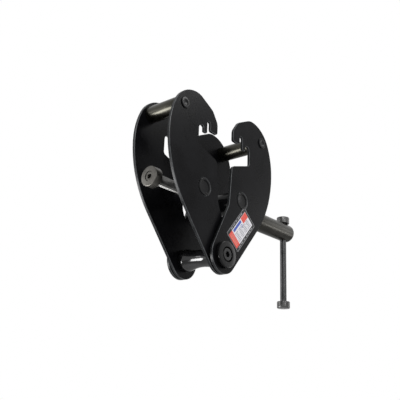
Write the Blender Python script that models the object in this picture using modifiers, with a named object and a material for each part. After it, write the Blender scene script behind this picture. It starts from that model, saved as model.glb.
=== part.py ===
"""Beam clamp: two pairs of hooked plates on one bar, drawn together by a hand-turned spindle.

The clamp hangs from the lower flange of a steel beam.  The beam runs along Y, the spindle along X
and Z is up.  The origin lies midway between the two jaws, at the height of the flange's top face,
where the teeth of the four hooks bear.  All sizes are in metres.
"""

import math

import bmesh
import bpy
from mathutils import Vector

# ---------------------------------------------------------------- fits and mesh fineness
GAP = 0.0003                   # air between neighbouring pieces that touch on the real clamp
BORE_CLEARANCE = 0.0004        # radial play of the spindle in the left trunnion
LOOP_CLEARANCE = 0.0008        # the same in the right trunnion, where the linkage closes
CHORD_ERROR = 0.0001           # how far a facet may cut inside a round outline
LARGE_STEPS = 32               # facets round the large turned pieces
SMALL_STEPS = 24               # facets round screws, rivets and the tommy bar
NOSE_STEPS = 4                 # facets along the rounded nose of the barrel
WAIST_STEPS = 8                # facets along the waist of the suspension bar
SHARP_ANGLE = math.radians(28)

# ---------------------------------------------------------------- plates
PLATE_THICKNESS = 0.004
PLATE_CHAMFER = 0.0005
JAW_INNER_WIDTH = 0.056        # clear width between the two left plates
JAW_SIDE_GAP = 0.002           # between a left plate and the right plate outside it

# ---------------------------------------------------------------- jaw profile
# Reach is measured outwards from the clamp's middle, rise upwards from the suspension bar.
LAND_HEIGHT = 0.1548           # suspension bar to the tooth that bears on the flange
NOTCH_REACH = 0.0505           # notch wall, just outside the edge of the flange
NOTCH_ROUND = 0.004
MOUTH_DEPTH = 0.0189           # tooth down to the shelf below the flange, at the notch wall
SHELF_LENGTH = 0.0383          # from the notch wall in to the jaw's inner edge
SHELF_DROP = 0.0127            # how far the shelf falls over that length
SHELF_ROUND = 0.0075
TOOTH_INSET = 0.0095           # notch wall to the outer flank of the tooth
TOOTH_WIDTH = 0.0068
TOOTH_ROUND = 0.0012
RELIEF_HEIGHT = 0.0082         # relief above the land, between the tooth and the notch wall
RELIEF_ROUND = 0.006
RELIEF_TOOTH_ROUND = 0.003
SLOT_WIDTH = 0.0062            # relief between the tooth and the tip of the hook
SLOT_HEIGHT = 0.018
TIP_WIDTH = 0.0148
TIP_RISE = 0.0052              # underside of the tip above the land
TIP_ROUND = 0.003
NOSE_RISE = 0.0209             # bend of the hook's inner edge above the land
NOSE_ROUND = 0.012
BROW_REACH = 0.0106            # brow of the hook, outwards from the tip
BROW_RISE = 0.0364
BROW_ROUND = 0.015
CROWN_INNER_REACH = 0.0388     # inner end of the crown, outwards from the tip
CROWN_INNER_ROUND = 0.025
CROWN_RISE = 0.0507            # top of the plate above the land
CROWN_OUTER_REACH = 0.0341     # outer end of the crown, outwards from the notch wall
CROWN_OUTER_ROUND = 0.043
CROWN_FALL = 0.0029
BELLY_REACH = 0.0546           # widest part of the plate, outwards from the notch wall
BELLY_TOP_RISE = 0.004         # above the land
BELLY_TOP_ROUND = 0.098
BELLY_LEAN = 0.0016            # foot of the belly, inwards from its widest part
BELLY_FOOT_RISE = 0.087
BELLY_FOOT_ROUND = 0.139
KNEE_REACH = 0.0078            # slight bend in the inner edge
KNEE_RISE = 0.068
KNEE_ROUND = 0.025
EYE_RADIUS = 0.0241            # rounded lower end, round the suspension bar

# ---------------------------------------------------------------- suspension bar and its ends
PIN_RADIUS = 0.011             # journals in the four plates
PIN_CHAMFER = 0.0008
SHOULDER_RADIUS = 0.0145
SHOULDER_LENGTH = 0.0075
WAIST_RADIUS = 0.0113          # where the hook of the hoist hangs
DISC_RADIUS = 0.017
DISC_THICKNESS = 0.005
DISC_CHAMFER = 0.001
DISC_RECESS_RADIUS = 0.010
DISC_RECESS_DEPTH = 0.0036
END_SCREW_RADIUS = 0.005
END_SCREW_LENGTH = 0.017       # below the head
END_SCREW_HEAD_RADIUS = 0.008
END_SCREW_HEAD_HEIGHT = 0.003
END_SCREW_SOCKET = 0.007       # across flats
END_SCREW_SOCKET_DEPTH = 0.0021
WASHER_RADIUS = 0.017

# ---------------------------------------------------------------- distance tubes across the top
TOP_BAR_REACH = 0.0285         # outwards from the notch wall
TOP_BAR_RISE = 0.0252          # above the land
TUBE_RADIUS = 0.011
RIVET_RADIUS = 0.0058
RIVET_HEAD_RADIUS = 0.0075
RIVET_HEAD_HEIGHT = 0.001
RIVET_DISH_RADIUS = 0.0046
RIVET_DISH_DEPTH = 0.0005

# ---------------------------------------------------------------- trunnions
TRUNNION_REACH = 0.0355
TRUNNION_RISE = 0.081
TRUNNION_RADIUS = 0.015
TRUNNION_CHAMFER = 0.0012
TRUNNION_JOURNAL_RADIUS = 0.0115
TRUNNION_PROUD = 0.0003        # end face outside the face of the plate
TRUNNION_DISH_RADIUS = 0.009
TRUNNION_DISH_DEPTH = 0.0012

# ---------------------------------------------------------------- spindle
ROD_RADIUS = 0.007
ROD_CHAMFER = 0.0008
COLLAR_REACH = 0.103           # outer face of the end collar from the clamp's middle
COLLAR_RADIUS = 0.013
COLLAR_LENGTH = 0.011
COLLAR_CHAMFER = 0.0008
COLLAR_SCREW_RADIUS = 0.004
COLLAR_SCREW_LENGTH = 0.018    # below the head
COLLAR_SCREW_HEAD_RADIUS = 0.0062
COLLAR_SCREW_HEAD_HEIGHT = 0.0044
COLLAR_SCREW_SOCKET = 0.006    # across flats
COLLAR_SCREW_SOCKET_DEPTH = 0.003
COLLAR_SCREW_SUNK = 0.0008     # head below the face of the collar
BARREL_REACH = 0.206           # rounded outer end of the barrel from the clamp's middle
BARREL_LENGTH = 0.110
BARREL_RADIUS = 0.0135
BARREL_NOSE_ROUND = 0.004
BARREL_CHAMFER = 0.0015
BARREL_SOCKET_DEPTH = 0.040    # how far the rod enters the barrel

# ---------------------------------------------------------------- tommy bar
TOMMY_INSET = 0.0128           # cross hole in from the end of the barrel
TOMMY_RADIUS = 0.0048
TOMMY_CLEARANCE = 0.0005
TOMMY_LENGTH = 0.141           # over both knobs
KNOB_RADIUS = 0.0097
KNOB_LENGTH = 0.010
KNOB_CHAMFER = 0.0009
KNOB_BORE_DEPTH = 0.0075

# ---------------------------------------------------------------- sizes that follow from these
LEFT_INNER = JAW_INNER_WIDTH / 2
LEFT_OUTER = LEFT_INNER + PLATE_THICKNESS
RIGHT_INNER = LEFT_OUTER + JAW_SIDE_GAP
RIGHT_OUTER = RIGHT_INNER + PLATE_THICKNESS
TOOTH_OUTER = NOTCH_REACH - TOOTH_INSET
TOOTH_INNER = TOOTH_OUTER - TOOTH_WIDTH
SLOT_INNER = TOOTH_INNER - SLOT_WIDTH
TIP_REACH = SLOT_INNER - TIP_WIDTH
SHELF_RISE = LAND_HEIGHT - MOUTH_DEPTH
TOP_BAR_PLACE = Vector((NOTCH_REACH + TOP_BAR_REACH, LAND_HEIGHT + TOP_BAR_RISE))
TRUNNION_PLACE = Vector((TRUNNION_REACH, TRUNNION_RISE))
PIN_END = RIGHT_OUTER + GAP
PIN_HOLE_RADIUS = PIN_RADIUS + GAP
BARREL_INNER = BARREL_REACH - BARREL_LENGTH
TOMMY_REACH = BARREL_REACH - TOMMY_INSET
TOMMY_TOP = BARREL_RADIUS + GAP + KNOB_LENGTH

ALONG_X = (0, math.pi / 2, 0)          # a turned piece's local Z laid along X
ALONG_Y = (-math.pi / 2, 0, 0)         # a turned piece's local Z laid along Y
TOWARDS_FRONT = (math.pi / 2, 0, 0)    # a turned piece's local Z laid along -Y


# ---------------------------------------------------------------- scene, materials, placing
def clear_scene():
    for item in list(bpy.data.objects):
        bpy.data.objects.remove(item, do_unlink=True)


def new_collection(name):
    collection = bpy.data.collections.new(name)
    bpy.context.scene.collection.children.link(collection)
    return collection


def new_material(name, color, roughness, metallic):
    material = bpy.data.materials.new(name)
    material.use_nodes = True
    shader = material.node_tree.nodes["Principled BSDF"]
    shader.inputs["Base Color"].default_value = (*color, 1)
    shader.inputs["Roughness"].default_value = roughness
    shader.inputs["Metallic"].default_value = metallic
    return material


def add_empty(name, parent, place):
    empty = bpy.data.objects.new(name, None)
    empty.empty_display_size = 0.02
    PARTS.objects.link(empty)
    empty.parent = parent
    empty.location = place
    return empty


def add_part(name, mesh, material, parent, place=(0, 0, 0), turn=(0, 0, 0)):
    mesh.name = name
    mesh.shade_smooth()
    mesh.set_sharp_from_angle(angle=SHARP_ANGLE)
    mesh.materials.append(material)
    part = bpy.data.objects.new(name, mesh)
    PARTS.objects.link(part)
    part.parent = parent
    part.location = place
    part.rotation_euler = turn
    return part


def cut_hole(part, name, radius, depth, sides, place=(0, 0, 0), turn=(0, 0, 0)):
    """Take a round or, with six sides, a hexagonal hole out of a part.

    place and turn are in the frame of the part's parent; depth is the cutter's whole length.
    """
    bpy.ops.mesh.primitive_cylinder_add(vertices=sides, radius=radius, depth=depth)
    cutter = bpy.context.object
    cutter.name = name
    for collection in list(cutter.users_collection):
        collection.objects.unlink(cutter)
    CUTTERS.objects.link(cutter)
    cutter.parent = part.parent
    cutter.location = place
    cutter.rotation_euler = turn
    cutter.hide_render = True
    cutter.display_type = 'WIRE'
    difference = part.modifiers.new(name, 'BOOLEAN')
    difference.operation = 'DIFFERENCE'
    difference.solver = 'EXACT'
    difference.object = cutter


# ---------------------------------------------------------------- outlines
def arc(centre, radius, start, sweep):
    """Points along an arc, both ends included."""
    step = 2 * math.acos(1 - min(CHORD_ERROR / radius, 0.3))
    count = max(2, math.ceil(abs(sweep) / step))
    angles = [start + sweep * index / count for index in range(count + 1)]
    return [centre + radius * Vector((math.cos(angle), math.sin(angle))) for angle in angles]


def circle(centre, radius):
    return arc(centre, radius, 0, 2 * math.pi)[:-1]


def rounded(corners):
    """Round each (point, radius) corner of a closed outline with an arc tangent to its edges.

    Where two neighbouring rounds don't fit on the edge between them, both shrink until they do.
    """
    points = [Vector(point) for point, radius in corners]
    count = len(points)
    forward = [points[(index + 1) % count] - points[index] for index in range(count)]
    turns = []
    reaches = []
    for index, (point, radius) in enumerate(corners):
        turn = forward[index].angle_signed(forward[index - 1])
        turns.append(turn)
        reaches.append(radius * math.tan(abs(turn) / 2))
    outline = []
    for index, point in enumerate(points):
        after = (index + 1) % count
        room = 1
        for wanted, edge in ((reaches[index - 1], forward[index - 1]), (reaches[after], forward[index])):
            if wanted + reaches[index] > edge.length:
                room = min(room, edge.length / (wanted + reaches[index]))
        reach = reaches[index] * room
        if reach < CHORD_ERROR:
            outline.append(point)
            continue
        heading = forward[index - 1].normalized()
        radius = reach / math.tan(abs(turns[index]) / 2)
        side = math.copysign(1, turns[index])
        start = point - heading * reach
        centre = start + Vector((-heading.y, heading.x)) * side * radius
        spoke = start - centre
        outline += arc(centre, radius, math.atan2(spoke.y, spoke.x), turns[index])
    return outline


def tangent_angle(point, radius, side):
    """Where on a circle round the suspension bar the tangent through a point touches it."""
    return math.atan2(point[1], point[0]) + side * math.acos(radius / Vector(point).length)


def jaw_outline():
    """One jaw plate, reach along the first axis and rise along the second, anticlockwise."""
    wall = NOTCH_REACH
    land = LAND_HEIGHT
    belly_foot = (wall + BELLY_REACH - BELLY_LEAN, BELLY_FOOT_RISE)
    knee = (KNEE_REACH, KNEE_RISE)
    eye_start = tangent_angle(knee, EYE_RADIUS, 1)
    eye_end = tangent_angle(belly_foot, EYE_RADIUS, -1) + 2 * math.pi
    eye = arc(Vector((0, 0)), EYE_RADIUS, eye_start, eye_end - eye_start)
    corners = [
        (eye[-1], 0),
        (belly_foot, BELLY_FOOT_ROUND),
        ((wall + BELLY_REACH, land + BELLY_TOP_RISE), BELLY_TOP_ROUND),
        ((wall + CROWN_OUTER_REACH, land + CROWN_RISE - CROWN_FALL), CROWN_OUTER_ROUND),
        ((TIP_REACH + CROWN_INNER_REACH, land + CROWN_RISE), CROWN_INNER_ROUND),
        ((TIP_REACH + BROW_REACH, land + BROW_RISE), BROW_ROUND),
        ((TIP_REACH, land + NOSE_RISE), NOSE_ROUND),
        ((TIP_REACH, land + TIP_RISE), TIP_ROUND),
        ((SLOT_INNER, land + TIP_RISE), TIP_ROUND),
        ((SLOT_INNER, land + SLOT_HEIGHT), SLOT_WIDTH / 2),
        ((TOOTH_INNER, land + SLOT_HEIGHT), SLOT_WIDTH / 2),
        ((TOOTH_INNER, land), TOOTH_ROUND),
        ((TOOTH_OUTER, land), TOOTH_ROUND),
        ((TOOTH_OUTER, land + RELIEF_HEIGHT), RELIEF_TOOTH_ROUND),
        ((wall, land + RELIEF_HEIGHT), RELIEF_ROUND),
        ((wall, SHELF_RISE), NOTCH_ROUND),
        ((wall - SHELF_LENGTH, SHELF_RISE - SHELF_DROP), SHELF_ROUND),
        (knee, KNEE_ROUND),
        (eye[0], 0),
    ]
    return rounded(corners) + eye[1:-1]


def flat_plate(outline, holes, thickness, chamfer):
    """A plate cut from sheet, its face in local XY, with a small chamfer on every edge."""
    curve = bpy.data.curves.new("plate_outline", 'CURVE')
    curve.dimensions = '2D'
    curve.fill_mode = 'BOTH'
    curve.extrude = thickness / 2 - chamfer
    curve.bevel_depth = chamfer
    curve.bevel_resolution = 0
    curve.offset = -chamfer
    for points in [outline] + [list(reversed(hole)) for hole in holes]:
        spline = curve.splines.new('POLY')
        spline.points.add(len(points) - 1)
        for target, point in zip(spline.points, points):
            target.co = (point.x, point.y, 0, 1)
        spline.use_cyclic_u = True
    carrier = bpy.data.objects.new("plate_outline", curve)
    PARTS.objects.link(carrier)
    bpy.context.view_layer.update()
    evaluated = carrier.evaluated_get(bpy.context.evaluated_depsgraph_get())
    mesh = bpy.data.meshes.new_from_object(evaluated)
    bpy.data.objects.remove(carrier, do_unlink=True)
    bpy.data.curves.remove(curve)
    shape = bmesh.new()
    shape.from_mesh(mesh)
    bmesh.ops.remove_doubles(shape, verts=shape.verts, dist=0.000005)
    bmesh.ops.recalc_face_normals(shape, faces=shape.faces)
    shape.to_mesh(mesh)
    shape.free()
    return mesh


def turned(profile, steps, closed=False):
    """Spin a profile of (radius, height) points, running down its outer side, about local Z."""
    mesh = bpy.data.meshes.new("profile")
    vertices = [(radius, 0, height) for radius, height in profile]
    edges = [(index, index + 1) for index in range(len(profile) - 1)]
    if closed:
        edges.append((len(profile) - 1, 0))
    mesh.from_pydata(vertices, edges, [])
    carrier = bpy.data.objects.new("profile", mesh)
    PARTS.objects.link(carrier)
    screw = carrier.modifiers.new("turn", 'SCREW')
    screw.axis = 'Z'
    screw.steps = steps
    screw.render_steps = steps
    screw.use_merge_vertices = True
    screw.merge_threshold = 0.000005
    bpy.context.view_layer.update()
    evaluated = carrier.evaluated_get(bpy.context.evaluated_depsgraph_get())
    solid = bpy.data.meshes.new_from_object(evaluated)
    bpy.data.objects.remove(carrier, do_unlink=True)
    bpy.data.meshes.remove(mesh)
    return solid


def both_ends(upper_half):
    """A profile that is alike above and below local Z = 0, from its upper half."""
    lower_half = [(radius, -height) for radius, height in reversed(upper_half)]
    if upper_half[-1][1] == 0:
        lower_half = lower_half[1:]
    return upper_half + lower_half


def ring_profile(inner, outer, low, high):
    return [(inner, high), (outer, high), (outer, low), (inner, low)]


# ---------------------------------------------------------------- the pieces
def build_jaw(side_name, side, inner_face, outer_face, pivot):
    """Two plates, the distance tube between their crowns and the rivet through all three."""
    outline = jaw_outline()
    holes = [
        circle(Vector((0, 0)), PIN_HOLE_RADIUS),
        circle(TRUNNION_PLACE, TRUNNION_JOURNAL_RADIUS + GAP),
        circle(TOP_BAR_PLACE, RIVET_RADIUS + GAP),
    ]
    if side < 0:
        outline = [Vector((-point.x, point.y)) for point in reversed(outline)]
        holes = [[Vector((-point.x, point.y)) for point in reversed(hole)] for hole in holes]
    middle = (inner_face + outer_face) / 2
    for position, y in (("front", -middle), ("rear", middle)):
        mesh = flat_plate(outline, holes, PLATE_THICKNESS, PLATE_CHAMFER)
        add_part(f"{side_name}_plate_{position}", mesh, BLACK_COAT, pivot, (0, y, 0), TOWARDS_FRONT)

    tube_place = (side * TOP_BAR_PLACE.x, 0, TOP_BAR_PLACE.y)
    reach = inner_face - GAP
    tube = ring_profile(RIVET_RADIUS + GAP, TUBE_RADIUS, -reach, reach)
    add_part(f"{side_name}_distance_tube", turned(tube, LARGE_STEPS, closed=True), DARK_STEEL,
             pivot, tube_place, ALONG_Y)

    head = outer_face + GAP
    rivet = both_ends([
        (0, head + RIVET_HEAD_HEIGHT - RIVET_DISH_DEPTH),
        (RIVET_DISH_RADIUS, head + RIVET_HEAD_HEIGHT),
        (RIVET_HEAD_RADIUS - RIVET_HEAD_HEIGHT / 2, head + RIVET_HEAD_HEIGHT),
        (RIVET_HEAD_RADIUS, head + RIVET_HEAD_HEIGHT / 2),
        (RIVET_HEAD_RADIUS, head),
        (RIVET_RADIUS, head),
    ])
    add_part(f"{side_name}_rivet", turned(rivet, SMALL_STEPS), BLACK_COAT, pivot, tube_place, ALONG_Y)


def build_trunnion(side_name, inner_face, outer_face, clearance, pivot):
    """A cross nut: a thick middle between the plates, thinner journals in them, and a cross bore."""
    shoulder = inner_face - GAP
    end = outer_face + TRUNNION_PROUD
    profile = both_ends([
        (0, end - TRUNNION_DISH_DEPTH),
        (TRUNNION_DISH_RADIUS - TRUNNION_DISH_DEPTH, end - TRUNNION_DISH_DEPTH),
        (TRUNNION_DISH_RADIUS, end),
        (TRUNNION_JOURNAL_RADIUS - TRUNNION_CHAMFER, end),
        (TRUNNION_JOURNAL_RADIUS, end - TRUNNION_CHAMFER),
        (TRUNNION_JOURNAL_RADIUS, shoulder),
        (TRUNNION_RADIUS - TRUNNION_CHAMFER, shoulder),
        (TRUNNION_RADIUS, shoulder - TRUNNION_CHAMFER),
    ])
    trunnion = add_part(f"{side_name}_trunnion", turned(profile, LARGE_STEPS), GLOSS_BLACK,
                        pivot, (0, 0, 0), ALONG_Y)
    cut_hole(trunnion, f"{side_name}_trunnion_bore", ROD_RADIUS + clearance,
             4 * TRUNNION_RADIUS, LARGE_STEPS, turn=ALONG_X)


def build_suspension_bar(frame):
    """The waisted bar in the eyes of all four plates, its end discs, their screws and washers."""
    half = LEFT_INNER - GAP
    waist_half = half - SHOULDER_LENGTH
    swell = SHOULDER_RADIUS - WAIST_RADIUS
    waist_arc = (waist_half ** 2 + swell ** 2) / (2 * swell)
    waist = []
    for index in range(WAIST_STEPS // 2 + 1):
        height = waist_half * (1 - 2 * index / WAIST_STEPS)
        radius = WAIST_RADIUS + waist_arc - math.sqrt(waist_arc ** 2 - height ** 2)
        waist.append((radius, height))
    screw_hole = END_SCREW_RADIUS + GAP
    hole_bottom = PIN_END - END_SCREW_LENGTH - GAP
    profile = both_ends([
        (0, hole_bottom),
        (screw_hole, hole_bottom),
        (screw_hole, PIN_END),
        (PIN_RADIUS - PIN_CHAMFER, PIN_END),
        (PIN_RADIUS, PIN_END - PIN_CHAMFER),
        (PIN_RADIUS, half),
        (SHOULDER_RADIUS, half),
    ] + waist)
    add_part("suspension_bar", turned(profile, LARGE_STEPS), GLOSS_BLACK, frame, turn=ALONG_Y)

    seat = PIN_END + GAP
    disc_face = seat + DISC_THICKNESS
    recess = disc_face - DISC_RECESS_DEPTH
    disc = [
        (DISC_RECESS_RADIUS, disc_face),
        (DISC_RADIUS - DISC_CHAMFER, disc_face),
        (DISC_RADIUS, disc_face - DISC_CHAMFER),
        (DISC_RADIUS, seat),
        (screw_hole, seat),
        (screw_hole, recess),
        (DISC_RECESS_RADIUS, recess),
    ]
    head_low = recess + GAP
    head_high = head_low + END_SCREW_HEAD_HEIGHT
    screw = [
        (0, head_high),
        (END_SCREW_HEAD_RADIUS, head_high),
        (END_SCREW_HEAD_RADIUS, head_low),
        (END_SCREW_RADIUS, head_low),
        (END_SCREW_RADIUS, hole_bottom + GAP),
        (0, hole_bottom + GAP),
    ]
    washer = ring_profile(PIN_HOLE_RADIUS, WASHER_RADIUS, LEFT_OUTER + GAP, RIGHT_INNER - GAP)
    for position, turn, away in (("front", TOWARDS_FRONT, -1), ("rear", ALONG_Y, 1)):
        add_part(f"{position}_retaining_disc", turned(disc, LARGE_STEPS, closed=True), GLOSS_BLACK,
                 frame, turn=turn)
        end_screw = add_part(f"{position}_end_screw", turned(screw, SMALL_STEPS), GLOSS_BLACK,
                             frame, turn=turn)
        cut_hole(end_screw, f"{position}_end_socket", END_SCREW_SOCKET / math.sqrt(3),
                 2 * END_SCREW_SOCKET_DEPTH, 6, (0, away * head_high, 0), turn)
        add_part(f"{position}_spacer_washer", turned(washer, LARGE_STEPS, closed=True), DARK_STEEL,
                 frame, turn=turn)


def build_spindle(slide, turning):
    """The rod in the trunnions, the barrel on its outer end and the collar on its inner end."""
    rod_low = -(COLLAR_REACH - COLLAR_LENGTH - GAP)
    rod_high = BARREL_INNER + BARREL_SOCKET_DEPTH - GAP
    screw_hole = COLLAR_SCREW_RADIUS + GAP
    recess = COLLAR_SCREW_SUNK + COLLAR_SCREW_HEAD_HEIGHT + GAP
    head_low = -COLLAR_REACH + COLLAR_SCREW_SUNK
    head_high = head_low + COLLAR_SCREW_HEAD_HEIGHT
    screw_end = head_high + COLLAR_SCREW_LENGTH
    rod = [
        (0, rod_high),
        (ROD_RADIUS - ROD_CHAMFER, rod_high),
        (ROD_RADIUS, rod_high - ROD_CHAMFER),
        (ROD_RADIUS, rod_low + ROD_CHAMFER),
        (ROD_RADIUS - ROD_CHAMFER, rod_low),
        (screw_hole, rod_low),
        (screw_hole, screw_end + GAP),
        (0, screw_end + GAP),
    ]
    add_part("spindle_rod", turned(rod, LARGE_STEPS), BRIGHT_STEEL, slide, turn=ALONG_X)

    socket = ROD_RADIUS + GAP
    nose = []
    for index in range(NOSE_STEPS + 1):
        angle = math.pi / 2 * (1 - index / NOSE_STEPS)
        nose.append((BARREL_RADIUS - BARREL_NOSE_ROUND * (1 - math.cos(angle)),
                     BARREL_REACH - BARREL_NOSE_ROUND * (1 - math.sin(angle))))
    barrel = [(0, BARREL_REACH)] + nose + [
        (BARREL_RADIUS, BARREL_INNER + BARREL_CHAMFER),
        (BARREL_RADIUS - BARREL_CHAMFER, BARREL_INNER),
        (socket, BARREL_INNER),
        (socket, BARREL_INNER + BARREL_SOCKET_DEPTH),
        (0, BARREL_INNER + BARREL_SOCKET_DEPTH),
    ]
    sleeve = add_part("spindle_barrel", turned(barrel, LARGE_STEPS), DARK_STEEL, turning, turn=ALONG_X)
    cut_hole(sleeve, "tommy_hole", TOMMY_RADIUS + TOMMY_CLEARANCE, 4 * BARREL_RADIUS,
             SMALL_STEPS, (TOMMY_REACH, 0, 0))

    collar_low = -COLLAR_REACH
    collar_high = collar_low + COLLAR_LENGTH
    head_room = COLLAR_SCREW_HEAD_RADIUS + GAP
    collar = [
        (screw_hole, collar_high),
        (COLLAR_RADIUS - COLLAR_CHAMFER, collar_high),
        (COLLAR_RADIUS, collar_high - COLLAR_CHAMFER),
        (COLLAR_RADIUS, collar_low + COLLAR_CHAMFER),
        (COLLAR_RADIUS - COLLAR_CHAMFER, collar_low),
        (head_room, collar_low),
        (head_room, collar_low + recess),
        (screw_hole, collar_low + recess),
    ]
    add_part("spindle_collar", turned(collar, LARGE_STEPS, closed=True), BRIGHT_STEEL,
             turning, turn=ALONG_X)
    screw = [
        (0, screw_end),
        (COLLAR_SCREW_RADIUS, screw_end),
        (COLLAR_SCREW_RADIUS, head_high),
        (COLLAR_SCREW_HEAD_RADIUS, head_high),
        (COLLAR_SCREW_HEAD_RADIUS, head_low),
        (0, head_low),
    ]
    collar_screw = add_part("collar_screw", turned(screw, SMALL_STEPS), DARK_STEEL,
                            turning, turn=ALONG_X)
    cut_hole(collar_screw, "collar_socket", COLLAR_SCREW_SOCKET / math.sqrt(3),
             2 * COLLAR_SCREW_SOCKET_DEPTH, 6, (head_low, 0, 0), ALONG_X)


def build_tommy_bar(slide):
    """The sliding cross bar, hanging at rest, with a knob pressed on each end."""
    top = TOMMY_TOP
    bottom = top - TOMMY_LENGTH
    bar_high = top - KNOB_LENGTH + KNOB_BORE_DEPTH - GAP
    bar_low = bottom + KNOB_LENGTH - KNOB_BORE_DEPTH + GAP
    bar = [(0, bar_high), (TOMMY_RADIUS, bar_high), (TOMMY_RADIUS, bar_low), (0, bar_low)]
    add_part("tommy_bar", turned(bar, SMALL_STEPS), BRIGHT_STEEL, slide)
    bore = TOMMY_RADIUS + GAP
    knob = [
        (0, KNOB_LENGTH),
        (KNOB_RADIUS - KNOB_CHAMFER, KNOB_LENGTH),
        (KNOB_RADIUS, KNOB_LENGTH - KNOB_CHAMFER),
        (KNOB_RADIUS, KNOB_CHAMFER),
        (KNOB_RADIUS - KNOB_CHAMFER, 0),
        (bore, 0),
        (bore, KNOB_BORE_DEPTH),
        (0, KNOB_BORE_DEPTH),
    ]
    add_part("tommy_knob_upper", turned(knob, SMALL_STEPS), BRIGHT_STEEL,
             slide, (0, 0, top - KNOB_LENGTH))
    add_part("tommy_knob_lower", turned(knob, SMALL_STEPS), BRIGHT_STEEL,
             slide, (0, 0, bottom + KNOB_LENGTH), (math.pi, 0, 0))


clear_scene()
PARTS = new_collection("beam_clamp")
CUTTERS = new_collection("cutters")
BLACK_COAT = new_material("black_powder_coat", (0.012, 0.012, 0.013), 0.32, 0.0)
GLOSS_BLACK = new_material("gloss_black_paint", (0.010, 0.010, 0.011), 0.16, 0.0)
DARK_STEEL = new_material("blackened_steel", (0.075, 0.072, 0.062), 0.38, 0.9)
BRIGHT_STEEL = new_material("turned_steel", (0.42, 0.42, 0.41), 0.28, 1.0)

clamp_frame = add_empty("suspension_axis", None, (0, 0, -LAND_HEIGHT))
build_suspension_bar(clamp_frame)

left_pivot = add_empty("left_jaw_pivot", clamp_frame, (0, 0, 0))
build_jaw("left", -1, LEFT_INNER, LEFT_OUTER, left_pivot)
left_nut = add_empty("left_trunnion_pivot", left_pivot, (-TRUNNION_REACH, 0, TRUNNION_RISE))
build_trunnion("left", LEFT_INNER, LEFT_OUTER, BORE_CLEARANCE, left_nut)

right_pivot = add_empty("right_jaw_pivot", clamp_frame, (0, 0, 0))
build_jaw("right", 1, RIGHT_INNER, RIGHT_OUTER, right_pivot)
right_nut = add_empty("right_trunnion_pivot", right_pivot, (TRUNNION_REACH, 0, TRUNNION_RISE))
build_trunnion("right", RIGHT_INNER, RIGHT_OUTER, LOOP_CLEARANCE, right_nut)

spindle_slide = add_empty("spindle_slide", left_nut, (TRUNNION_REACH, 0, 0))
spindle_turn = add_empty("spindle_turn", spindle_slide, (0, 0, 0))
build_spindle(spindle_slide, spindle_turn)
tommy_slide = add_empty("tommy_slide", spindle_turn, (TOMMY_REACH, 0, 0))
build_tommy_bar(tommy_slide)
bpy.context.view_layer.update()
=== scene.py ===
import math

import bmesh
import bpy
from mathutils import Matrix, Vector


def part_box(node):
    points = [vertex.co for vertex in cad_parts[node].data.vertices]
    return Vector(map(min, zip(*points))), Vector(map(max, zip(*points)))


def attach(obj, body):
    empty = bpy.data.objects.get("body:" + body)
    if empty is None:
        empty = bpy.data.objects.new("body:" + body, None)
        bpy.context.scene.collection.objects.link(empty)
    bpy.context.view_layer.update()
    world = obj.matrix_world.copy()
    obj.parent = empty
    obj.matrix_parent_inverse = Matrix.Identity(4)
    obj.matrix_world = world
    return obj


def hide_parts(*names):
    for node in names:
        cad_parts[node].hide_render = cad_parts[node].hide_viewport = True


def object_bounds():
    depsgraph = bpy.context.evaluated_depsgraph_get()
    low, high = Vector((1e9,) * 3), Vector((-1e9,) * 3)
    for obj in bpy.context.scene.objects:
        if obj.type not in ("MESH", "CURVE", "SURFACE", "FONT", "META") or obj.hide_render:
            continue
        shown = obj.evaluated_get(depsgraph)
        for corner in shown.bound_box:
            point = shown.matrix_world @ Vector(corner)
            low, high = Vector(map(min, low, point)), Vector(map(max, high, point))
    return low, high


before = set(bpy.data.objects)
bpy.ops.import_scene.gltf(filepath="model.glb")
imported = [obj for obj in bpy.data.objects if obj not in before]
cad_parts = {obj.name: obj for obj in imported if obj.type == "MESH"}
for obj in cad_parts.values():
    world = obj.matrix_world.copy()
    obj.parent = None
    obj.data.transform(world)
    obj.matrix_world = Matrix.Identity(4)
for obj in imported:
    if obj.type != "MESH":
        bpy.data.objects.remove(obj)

cad_low, cad_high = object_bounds()


# ---------------------------------------------------------------- the four hooked plates
# Each jaw is a pair of plates, laser cut from 4 mm steel, edges broken, then powder coated
# black.  The broken edges and the cut edge are painted lighter than the faces, a painted
# highlight along the rims, and the cut edge keeps fine marks that run through the thickness of the
# plate.

def new_group(name, inputs, output):
    """A shader node group with float inputs (name, default) and one float output."""
    group = bpy.data.node_groups.new(name, 'ShaderNodeTree')
    for label, value in inputs:
        socket = group.interface.new_socket(label, in_out='INPUT', socket_type='NodeSocketFloat')
        socket.default_value = value
    group.interface.new_socket(output, in_out='OUTPUT', socket_type='NodeSocketFloat')
    return group, group.nodes.new('NodeGroupInput'), group.nodes.new('NodeGroupOutput')


def vector_from(group, given, label):
    """Three float inputs of a group, such as Along X, Along Y and Along Z, as one vector."""
    joined = group.nodes.new('ShaderNodeCombineXYZ')
    for axis in "XYZ":
        group.links.new(given.outputs[f"{label} {axis}"], joined.inputs[axis])
    return joined.outputs["Vector"]


def vector_math(group, operation, first, second, output="Vector"):
    """A Vector Math node on two sockets."""
    made = group.nodes.new('ShaderNodeVectorMath')
    made.operation = operation
    group.links.new(first, made.inputs[0])
    group.links.new(second, made.inputs["Scale"] if operation == 'SCALE' else made.inputs[1])
    return made.outputs[output]


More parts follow.
